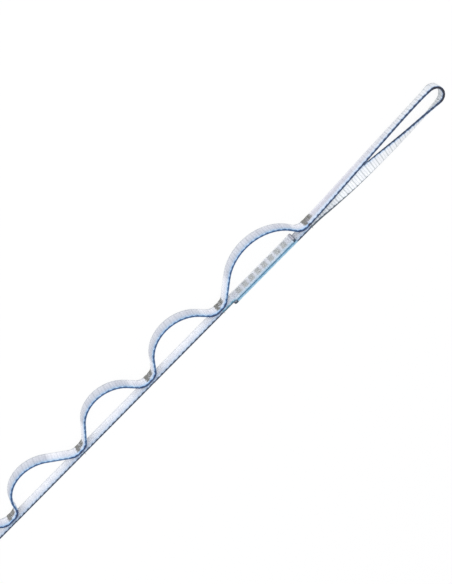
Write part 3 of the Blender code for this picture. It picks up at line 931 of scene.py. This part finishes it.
for i in range(pockets + 1):
    number = str(i + 1)
    upper_path = bow_paths[i - 1] if i else loop_path
    front = face_of(upper_path, 1)
    back = face_of([(tack_x[i], lower_y[i]), (tack_x[i] + bend_start, lower_y[i])], -1)
    runs = []
    for surface, normal in ((front, (0, 1, 0)), (back, (0, -1, 0))):
        for start, end, low, high, pitch in bars:
            runs.append((zigzag(surface, start, end, low, high, pitch, ragged), normal))
    # The thread's cut tail stands out from the back near the upper edge
    tail = rng.uniform(*tail_lengths)
    root = np.array(back(rng.uniform(*tail_places), tail_height, -thread_radius))
    away = np.array((rng.uniform(*tail_swing), -1.0, rng.uniform(*tail_lift)))
    runs.append((np.array([root + away * tail * share for share in (0, 0.25, 0.5, 0.75, 1)]), (0, 0, 1)))
    thread_piece("bar_tack_thread_" + number, runs, grey_thread, "bar_tack_" + number, bodies[i])

# The splice's tacks: eight short bars of paler polyester thread, sewn through both layers like the
# others. They carry the load from one end of the webbing to the other and quilt it between them.
splice_bar = (-0.0027, 0.0027, 0.0022, 0.0096, 0.00056)
lap_bar = (-0.0008, 0.0008, 0.0008, 0.0040, 0.00056)  # a narrow bar over the outer layer's cut end
for k, x in enumerate(splice_x):
    number = str(k + 1)
    front = face_of([(x, spine_y), (x + bend_start, spine_y)], 1)
    back = face_of([(x, lower_y[0]), (x + bend_start, lower_y[0])], -1)
    runs = []
    for surface, normal in ((front, (0, 1, 0)), (back, (0, -1, 0))):
        runs.append((zigzag(surface, *splice_bar, neat), normal))
    if x == min(splice_x):
        lap = face_of([(outer_end, spine_y), (outer_end + bend_start, spine_y)], 1)
        runs.append((zigzag(lap, *lap_bar, neat), (0, 1, 0)))
    thread_piece("splice_tack_thread_" + number, runs, pale_thread, "splice_tack_" + number, "pocket_1")

# The stage: a white paper floor under two softboxes in a bright room. The paper burns out to white
# where it is seen, and takes a trace of the chain's shadow.
floor_size = 6.0
floor_gap = 0.0002  # the floor lies clear of the ribs on the webbing's lower edge
paper_glow = 0.92  # the share of its brightness that the shadow can't reach
corner = floor_size / 2
floor_mesh = bpy.data.meshes.new("floor")
floor_mesh.from_pydata(
    [(-corner, -corner, 0), (corner, -corner, 0), (corner, corner, 0), (-corner, corner, 0)], [],
    [(0, 1, 2, 3)],
)
floor = add_object("floor", floor_mesh)
floor.location.z = -floor_gap


def seen_directly(tree):
    """Light paths that end in the camera, straight or by way of a mirror or glass."""
    rays = add_node(tree, "ShaderNodeLightPath")
    seen = add_node(
        tree, "ShaderNodeMath", {"operation": "MAXIMUM"},
        {0: rays.outputs["Is Camera Ray"], 1: rays.outputs["Is Glossy Ray"]},
    )
    return add_node(
        tree, "ShaderNodeMath", {"operation": "MAXIMUM"},
        {0: seen.outputs[0], 1: rays.outputs["Is Transmission Ray"]},
    )


paper = bpy.data.materials.new("white_background_paper")
paper.use_nodes = True
tree = paper.node_tree
tree.nodes.clear()
seen = seen_directly(tree)
lit = add_node(tree, "ShaderNodeMath", {"operation": "MULTIPLY", 1: paper_glow}, {0: seen.outputs[0]})
diffuse = add_node(tree, "ShaderNodeBsdfDiffuse", {"Color": linear("F6F6F6")})
glow = add_node(tree, "ShaderNodeEmission", {"Color": linear("FFFFFF"), "Strength": 1.0})
mixed = add_node(
    tree, "ShaderNodeMixShader", {}, {0: lit.outputs[0], 1: diffuse.outputs[0], 2: glow.outputs[0]}
)
add_node(tree, "ShaderNodeOutputMaterial", {}, {"Surface": mixed.outputs[0]})
floor_mesh.materials.append(paper)

world = bpy.data.worlds.new("studio")
bpy.context.scene.world = world
world.use_nodes = True
tree = world.node_tree
tree.nodes.clear()
seen = seen_directly(tree)
ambient = add_node(tree, "ShaderNodeBackground", {"Color": linear("FBFBFF"), "Strength": 0.84})
backdrop = add_node(tree, "ShaderNodeBackground", {"Color": linear("FFFFFF"), "Strength": 1.0})
mixed = add_node(
    tree, "ShaderNodeMixShader", {}, {0: seen.outputs[0], 1: ambient.outputs[0], 2: backdrop.outputs[0]}
)
add_node(tree, "ShaderNodeOutputWorld", {}, {"Surface": mixed.outputs[0]})


def add_lamp(name, location, aim, size, power):
    """A round softbox of a size in metres and a power in watts, aimed at a point."""
    lamp = bpy.data.lights.new(name, "AREA")
    lamp.shape = "DISK"
    lamp.size = size
    lamp.energy = power
    stand = add_object(name, lamp)
    stand.location = location
    stand.rotation_euler = (Vector(aim) - Vector(location)).to_track_quat("-Z", "Y").to_euler()


add_lamp("key_softbox", (0.9, 1.4, 1.9), (0.2, 0, 0), 1.6, 21)
add_lamp("fill_softbox", (-1.4, 0.8, 1.7), (0.1, 0, 0), 1.6, 8)

# The camera stands on the pocket side and looks down on the chain, rolled so that it runs uphill.
# Its angles, its place and its focal length were fitted to the webbing's edges in the photograph.
photo_width = 452
focal_px = 1180.9
camera_turn = math.radians(8.208)
camera_tilt = math.radians(39.058)
camera_roll = math.radians(38.987)
camera_offset = (0.065524, 0.060944, -1.0)
lens = bpy.data.cameras.new("camera")
lens.sensor_fit = "HORIZONTAL"
lens.sensor_width = 36
lens.lens = lens.sensor_width * focal_px / photo_width
view = Matrix.Rotation(camera_roll, 3, "Z") @ Matrix.Rotation(camera_tilt, 3, "X")
view = view @ Matrix.Rotation(camera_turn, 3, "Z")
camera = add_object("camera", lens)
camera.location = Vector((tack_x[0], spine_y, 0)) - view.transposed() @ Vector(camera_offset)
camera.rotation_euler = view.transposed().to_euler()
bpy.context.scene.camera = camera
bpy.context.scene.view_settings.view_transform = "Standard"
